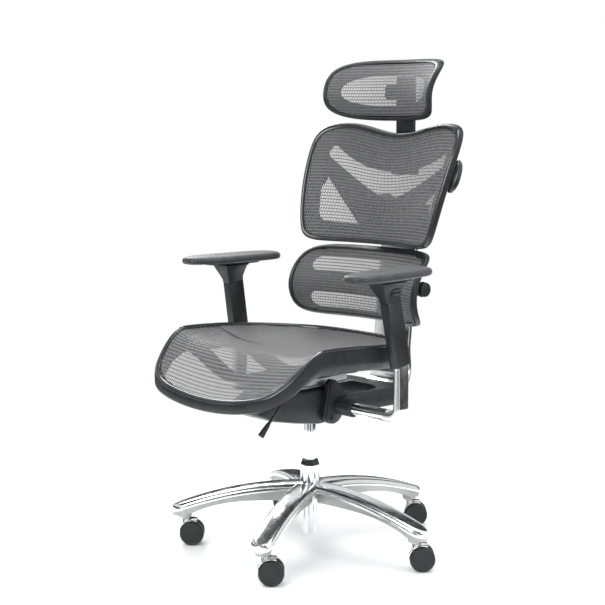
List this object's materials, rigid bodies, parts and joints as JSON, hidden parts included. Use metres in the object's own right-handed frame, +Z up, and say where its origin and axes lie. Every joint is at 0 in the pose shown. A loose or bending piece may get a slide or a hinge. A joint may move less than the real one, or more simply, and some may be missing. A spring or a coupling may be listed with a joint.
{
  "type": "swivel office chair",
  "caption": "Swivel office chair with a mesh seat, a two-part mesh back, a mesh headrest, height-set arms and a polished star base on twin-wheel casters.",
  "frame": {"origin": "middle of the chair's box on the floor", "axes": "+Z up, the sitter faces -Y, +X towards the sitter's left"},
  "size_m": [0.6696, 0.6954, 1.183],
  "materials": {
    "polished_aluminium": "polished",
    "chrome": "mirror bright",
    "steel": "satin",
    "black_plastic": "satin black",
    "dark_metal": "satin black paint",
    "wheel_rubber": "matt black",
    "grey_mesh": "woven mesh",
    "pad_skin": "soft satin skin"
  },
  "bodies": {
    "base": {"star_base": "polished_aluminium", "column_tube": "chrome", "guide_bush": "black_plastic"},
    "caster_1_swivel": {"caster_1_stem": "steel", "caster_1_hood": "chrome"},
    "caster_1_wheel_left": {"caster_1_wheel_left": "wheel_rubber"},
    "caster_1_wheel_right": {"caster_1_wheel_right": "wheel_rubber"},
    "caster_2_swivel": {"caster_2_stem": "steel", "caster_2_hood": "chrome"},
    "caster_2_wheel_left": {"caster_2_wheel_left": "wheel_rubber"},
    "caster_2_wheel_right": {"caster_2_wheel_right": "wheel_rubber"},
    "caster_3_swivel": {"caster_3_stem": "steel", "caster_3_hood": "chrome"},
    "caster_3_wheel_left": {"caster_3_wheel_left": "wheel_rubber"},
    "caster_3_wheel_right": {"caster_3_wheel_right": "wheel_rubber"},
    "caster_4_swivel": {"caster_4_stem": "steel", "caster_4_hood": "chrome"},
    "caster_4_wheel_left": {"caster_4_wheel_left": "wheel_rubber"},
    "caster_4_wheel_right": {"caster_4_wheel_right": "wheel_rubber"},
    "caster_5_swivel": {"caster_5_stem": "steel", "caster_5_hood": "chrome"},
    "caster_5_wheel_left": {"caster_5_wheel_left": "wheel_rubber"},
    "caster_5_wheel_right": {"caster_5_wheel_right": "wheel_rubber"},
    "piston": {"piston_rod": "steel", "thrust_bearing": "steel"},
    "lift": {"gas_cylinder": "chrome", "mechanism_housing": "black_plastic", "tilt_pivot_pin": "steel"},
    "lever": {"control_lever": "black_plastic"},
    "recline": {"yoke": "black_plastic", "spine": "polished_aluminium", "lumbar_bracket": "black_plastic", "arm_left_tube": "chrome", "arm_left_bar": "polished_aluminium", "arm_left_sleeve": "black_plastic", "arm_right_tube": "chrome", "arm_right_bar": "polished_aluminium", "arm_right_sleeve": "black_plastic"},
    "seat_plate": {"seat_plate": "steel"},
    "seat": {"seat_frame": "black_plastic", "seat_mesh": "grey_mesh"},
    "back": {"back_carriage": "black_plastic", "back_support": "black_plastic", "upper_back_frame": "black_plastic", "upper_back_mesh": "grey_mesh", "headrest_holder": "black_plastic"},
    "lumbar": {"lumbar_frame": "black_plastic", "lumbar_mesh": "grey_mesh"},
    "headrest_post": {"headrest_stem": "black_plastic"},
    "headrest": {"headrest_pivot": "black_plastic", "headrest_frame": "black_plastic", "headrest_mesh": "grey_mesh"},
    "arm_left_height": {"arm_left_head": "black_plastic"},
    "arm_left_trigger": {"arm_left_trigger": "black_plastic"},
    "arm_left_pad": {"arm_left_pad_plate": "dark_metal", "arm_left_pad": "pad_skin"},
    "arm_right_height": {"arm_right_head": "black_plastic"},
    "arm_right_trigger": {"arm_right_trigger": "black_plastic"},
    "arm_right_pad": {"arm_right_pad_plate": "dark_metal", "arm_right_pad": "pad_skin"}
  },
  "joints": [
    {"name": "caster_1_swivel", "type": "hinge", "parent": "base", "child": "caster_1_swivel", "pos_m": [0.28765, 0.03648, 0.065], "axis": [0, 0, 1], "continuous": true},
    {"name": "caster_1_left_roll", "type": "hinge", "parent": "caster_1_swivel", "child": "caster_1_wheel_left", "pos_m": [0.29951, 0.04867, 0.02974], "axis": [0.7169, -0.6972, 0], "continuous": true},
    {"name": "caster_1_right_roll", "type": "hinge", "parent": "caster_1_swivel", "child": "caster_1_wheel_right", "pos_m": [0.29951, 0.04867, 0.02974], "axis": [0.7169, -0.6972, 0], "continuous": true},
    {"name": "caster_2_swivel", "type": "hinge", "parent": "base", "child": "caster_2_swivel", "pos_m": [0.03832, 0.2974, 0.065], "axis": [0, 0, 1], "continuous": true},
    {"name": "caster_2_left_roll", "type": "hinge", "parent": "caster_2_swivel", "child": "caster_2_wheel_left", "pos_m": [0.05017, 0.30959, 0.02974], "axis": [0.7169, -0.6972, 0], "continuous": true},
    {"name": "caster_2_right_roll", "type": "hinge", "parent": "caster_2_swivel", "child": "caster_2_wheel_right", "pos_m": [0.05017, 0.30959, 0.02974], "axis": [0.7169, -0.6972, 0], "continuous": true},
    {"name": "caster_3_swivel", "type": "hinge", "parent": "base", "child": "caster_3_swivel", "pos_m": [-0.28688, 0.14089, 0.065], "axis": [0, 0, 1], "continuous": true},
    {"name": "caster_3_left_roll", "type": "hinge", "parent": "caster_3_swivel", "child": "caster_3_wheel_left", "pos_m": [-0.27503, 0.15308, 0.02974], "axis": [0.7169, -0.6972, 0], "continuous": true},
    {"name": "caster_3_right_roll", "type": "hinge", "parent": "caster_3_swivel", "child": "caster_3_wheel_right", "pos_m": [-0.27503, 0.15308, 0.02974], "axis": [0.7169, -0.6972, 0], "continuous": true},
    {"name": "caster_4_swivel", "type": "hinge", "parent": "base", "child": "caster_4_swivel", "pos_m": [-0.23853, -0.21675, 0.065], "axis": [0, 0, 1], "continuous": true},
    {"name": "caster_4_left_roll", "type": "hinge", "parent": "caster_4_swivel", "child": "caster_4_wheel_left", "pos_m": [-0.22668, -0.20457, 0.02974], "axis": [0.7169, -0.6972, 0], "continuous": true},
    {"name": "caster_4_right_roll", "type": "hinge", "parent": "caster_4_swivel", "child": "caster_4_wheel_right", "pos_m": [-0.22668, -0.20457, 0.02974], "axis": [0.7169, -0.6972, 0], "continuous": true},
    {"name": "caster_5_swivel", "type": "hinge", "parent": "base", "child": "caster_5_swivel", "pos_m": [0.11656, -0.28128, 0.065], "axis": [0, 0, 1], "continuous": true},
    {"name": "caster_5_left_roll", "type": "hinge", "parent": "caster_5_swivel", "child": "caster_5_wheel_left", "pos_m": [0.12841, -0.2691, 0.02974], "axis": [0.7169, -0.6972, 0], "continuous": true},
    {"name": "caster_5_right_roll", "type": "hinge", "parent": "caster_5_swivel", "child": "caster_5_wheel_right", "pos_m": [0.12841, -0.2691, 0.02974], "axis": [0.7169, -0.6972, 0], "continuous": true},
    {"name": "column_turn", "type": "hinge", "parent": "base", "child": "piston", "pos_m": [-0.01658, -0.00465, 0.05], "axis": [0, 0, 1], "continuous": true},
    {"name": "seat_height", "type": "slide", "parent": "piston", "child": "lift", "axis": [0, 0, 1], "range_m": [-0.07, 0.03]},
    {"name": "lever_lift", "type": "hinge", "parent": "lift", "child": "lever", "pos_m": [0.04482, -0.16965, 0.385], "axis": [-1, 0, 0], "range_deg": [0, 10], "stiffness_Nm_per_rad": 0.6, "springref_deg": -17.19},
    {"name": "recline", "type": "hinge", "parent": "lift", "child": "recline", "pos_m": [-0.01658, -0.00865, 0.385], "axis": [-1, 0, 0], "range_deg": [0, 20], "stiffness_Nm_per_rad": 70, "springref_deg": -34.38},
    {"name": "seat_tilt", "type": "hinge", "parent": "lift", "child": "seat_plate", "pos_m": [-0.01658, 0.06735, 0.408], "axis": [-1, 0, 0], "range_deg": [0, 7]},
    {"name": "seat_slide", "type": "slide", "parent": "seat_plate", "child": "seat", "axis": [0, -1, 0], "range_m": [0, 0.04]},
    {"name": "back_height", "type": "slide", "parent": "recline", "child": "back", "axis": [0, 0.0995, 0.995], "range_m": [0, 0.05]},
    {"name": "lumbar_rock", "type": "hinge", "parent": "recline", "child": "lumbar", "pos_m": [-0.01658, 0.17739, 0.6335], "axis": [1, 0, 0], "range_deg": [-6, 5], "stiffness_Nm_per_rad": 25},
    {"name": "headrest_height", "type": "slide", "parent": "back", "child": "headrest_post", "axis": [0, 0, 1], "range_m": [0, 0.05]},
    {"name": "headrest_tilt", "type": "hinge", "parent": "headrest_post", "child": "headrest", "pos_m": [-0.01658, 0.29533, 1.102], "axis": [1, 0, 0], "range_deg": [-15, 15]},
    {"name": "arm_left_height", "type": "slide", "parent": "recline", "child": "arm_left_height", "axis": [-0.0471, -0.1817, 0.9822], "range_m": [0, 0.06]},
    {"name": "arm_left_trigger", "type": "slide", "parent": "arm_left_height", "child": "arm_left_trigger", "axis": [-1, 0, 0], "range_m": [0, 0.002], "stiffness_N_per_m": 400, "springref_m": -0.002},
    {"name": "arm_left_pad_turn", "type": "hinge", "parent": "arm_left_height", "child": "arm_left_pad", "pos_m": [0.24911, -0.02254, 0.674], "axis": [0, 0, 1], "range_deg": [-20, 20]},
    {"name": "arm_right_height", "type": "slide", "parent": "recline", "child": "arm_right_height", "axis": [0.0471, -0.1817, 0.9822], "range_m": [0, 0.06]},
    {"name": "arm_right_trigger", "type": "slide", "parent": "arm_right_height", "child": "arm_right_trigger", "axis": [1, 0, 0], "range_m": [0, 0.002], "stiffness_N_per_m": 400, "springref_m": -0.002},
    {"name": "arm_right_pad_turn", "type": "hinge", "parent": "arm_right_height", "child": "arm_right_pad", "pos_m": [-0.28226, -0.02254, 0.674], "axis": [0, 0, 1], "range_deg": [-20, 20]}
  ],
  "couplings": [
    {"joint": "seat_tilt", "follows": "recline", "ratio": 0.3}
  ]
}
